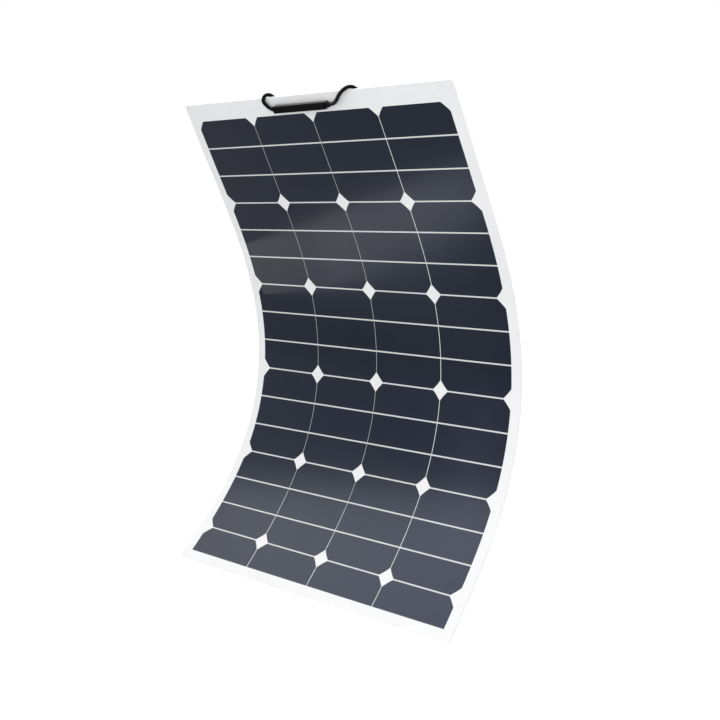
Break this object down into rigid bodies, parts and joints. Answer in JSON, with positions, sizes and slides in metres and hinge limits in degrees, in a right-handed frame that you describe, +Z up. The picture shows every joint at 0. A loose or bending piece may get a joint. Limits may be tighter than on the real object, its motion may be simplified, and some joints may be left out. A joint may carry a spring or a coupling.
{
  "type": "flexible solar sheet",
  "caption": "Semi-flexible white laminate sheet with rows of dark back-contact solar cell strips, curled to the front, with a slim junction box and two leads ending in connectors.",
  "frame": {"origin": "centre of the rear face of the eighth strip row, where the sheet is bonded down", "axes": "+X across the sheet to the right as seen from the front, +Y out of the rear face, so the cells face -Y, +Z up the sheet towards the junction box"},
  "size_m": [0.535, 0.1768, 0.6754],
  "materials": {
    "white_board": "satin white glass-fibre board",
    "white_encapsulant": "white pigmented encapsulant",
    "clear_encapsulant": "clear encapsulant, smooth",
    "clear_film": "clear fluoropolymer film, soft gloss",
    "silicon_cells": "dark blue back-contact silicon, no lines on the front",
    "tinned_ribbon": "tinned copper ribbon",
    "tinned_contact": "tinned copper alloy",
    "adhesive_pad": "black adhesive foam",
    "black_housing": "black moulded plastic with a soft sheen",
    "diode_plastic": "black epoxy case",
    "black_rubber": "matt black rubber",
    "cable_jacket": "black cable jacket with a soft sheen",
    "connector_plastic": "black moulded plastic",
    "strap": "black hook-and-loop strap"
  },
  "bodies": {
    "section_1": {"section_1_back_board": "white_board", "section_1_cell_links": "tinned_ribbon", "section_1_cells": "silicon_cells", "section_1_front_encapsulant": "clear_encapsulant", "section_1_front_film": "clear_film", "section_1_rear_encapsulant": "white_encapsulant", "bypass_diodes": "diode_plastic", "junction_box_adhesive_pad": "adhesive_pad", "junction_box_base": "black_housing", "junction_box_lid": "black_housing", "left_connector_nut": "connector_plastic", "left_connector_seal": "black_rubber", "left_lead": "cable_jacket", "left_lead_coil": "cable_jacket", "left_lead_tie": "strap", "left_plug_pin": "tinned_contact", "left_plug_shell": "connector_plastic", "left_strain_relief": "black_rubber", "right_connector_nut": "connector_plastic", "right_connector_seal": "black_rubber", "right_lead": "cable_jacket", "right_lead_coil": "cable_jacket", "right_lead_tie": "strap", "right_socket_contact": "tinned_contact", "right_socket_shell": "connector_plastic", "right_strain_relief": "black_rubber", "terminals": "tinned_contact", "top_bus_ribbons": "tinned_ribbon"},
    "section_2": {"section_2_back_board": "white_board", "section_2_cell_links": "tinned_ribbon", "section_2_cells": "silicon_cells", "section_2_front_encapsulant": "clear_encapsulant", "section_2_front_film": "clear_film", "section_2_rear_encapsulant": "white_encapsulant"},
    "section_3": {"section_3_back_board": "white_board", "section_3_cell_links": "tinned_ribbon", "section_3_cells": "silicon_cells", "section_3_front_encapsulant": "clear_encapsulant", "section_3_front_film": "clear_film", "section_3_rear_encapsulant": "white_encapsulant"},
    "section_4": {"section_4_back_board": "white_board", "section_4_cell_links": "tinned_ribbon", "section_4_cells": "silicon_cells", "section_4_front_encapsulant": "clear_encapsulant", "section_4_front_film": "clear_film", "section_4_rear_encapsulant": "white_encapsulant"},
    "section_5": {"section_5_back_board": "white_board", "section_5_cell_links": "tinned_ribbon", "section_5_cells": "silicon_cells", "section_5_front_encapsulant": "clear_encapsulant", "section_5_front_film": "clear_film", "section_5_rear_encapsulant": "white_encapsulant"},
    "section_6": {"section_6_back_board": "white_board", "section_6_cell_links": "tinned_ribbon", "section_6_cells": "silicon_cells", "section_6_front_encapsulant": "clear_encapsulant", "section_6_front_film": "clear_film", "section_6_rear_encapsulant": "white_encapsulant", "bottom_bus_ribbons": "tinned_ribbon"}
  },
  "joints": [
    {"name": "bend_2", "type": "hinge", "parent": "section_3", "child": "section_2", "pos_m": [0, -0.00608, 0.06529], "axis": [1, 0, 0], "range_deg": [-38, 5.9], "stiffness_Nm_per_rad": 27},
    {"name": "bend_1", "type": "hinge", "parent": "section_2", "child": "section_1", "pos_m": [0, -0.04104, 0.19143], "axis": [1, 0, 0], "range_deg": [-25.5, 18.5], "stiffness_Nm_per_rad": 27},
    {"name": "bend_3", "type": "hinge", "parent": "section_3", "child": "section_4", "pos_m": [0, -0.00653, -0.06524], "axis": [-1, 0, 0], "range_deg": [-43.4, 0.6], "stiffness_Nm_per_rad": 27},
    {"name": "bend_4", "type": "hinge", "parent": "section_4", "child": "section_5", "pos_m": [0, -0.05368, -0.18691], "axis": [-1, 0, 0], "range_deg": [-40, 4], "stiffness_Nm_per_rad": 27},
    {"name": "bend_5", "type": "hinge", "parent": "section_5", "child": "section_6", "pos_m": [0, -0.13573, -0.28879], "axis": [-1, 0, 0], "range_deg": [-20, 8], "stiffness_Nm_per_rad": 27}
  ]
}
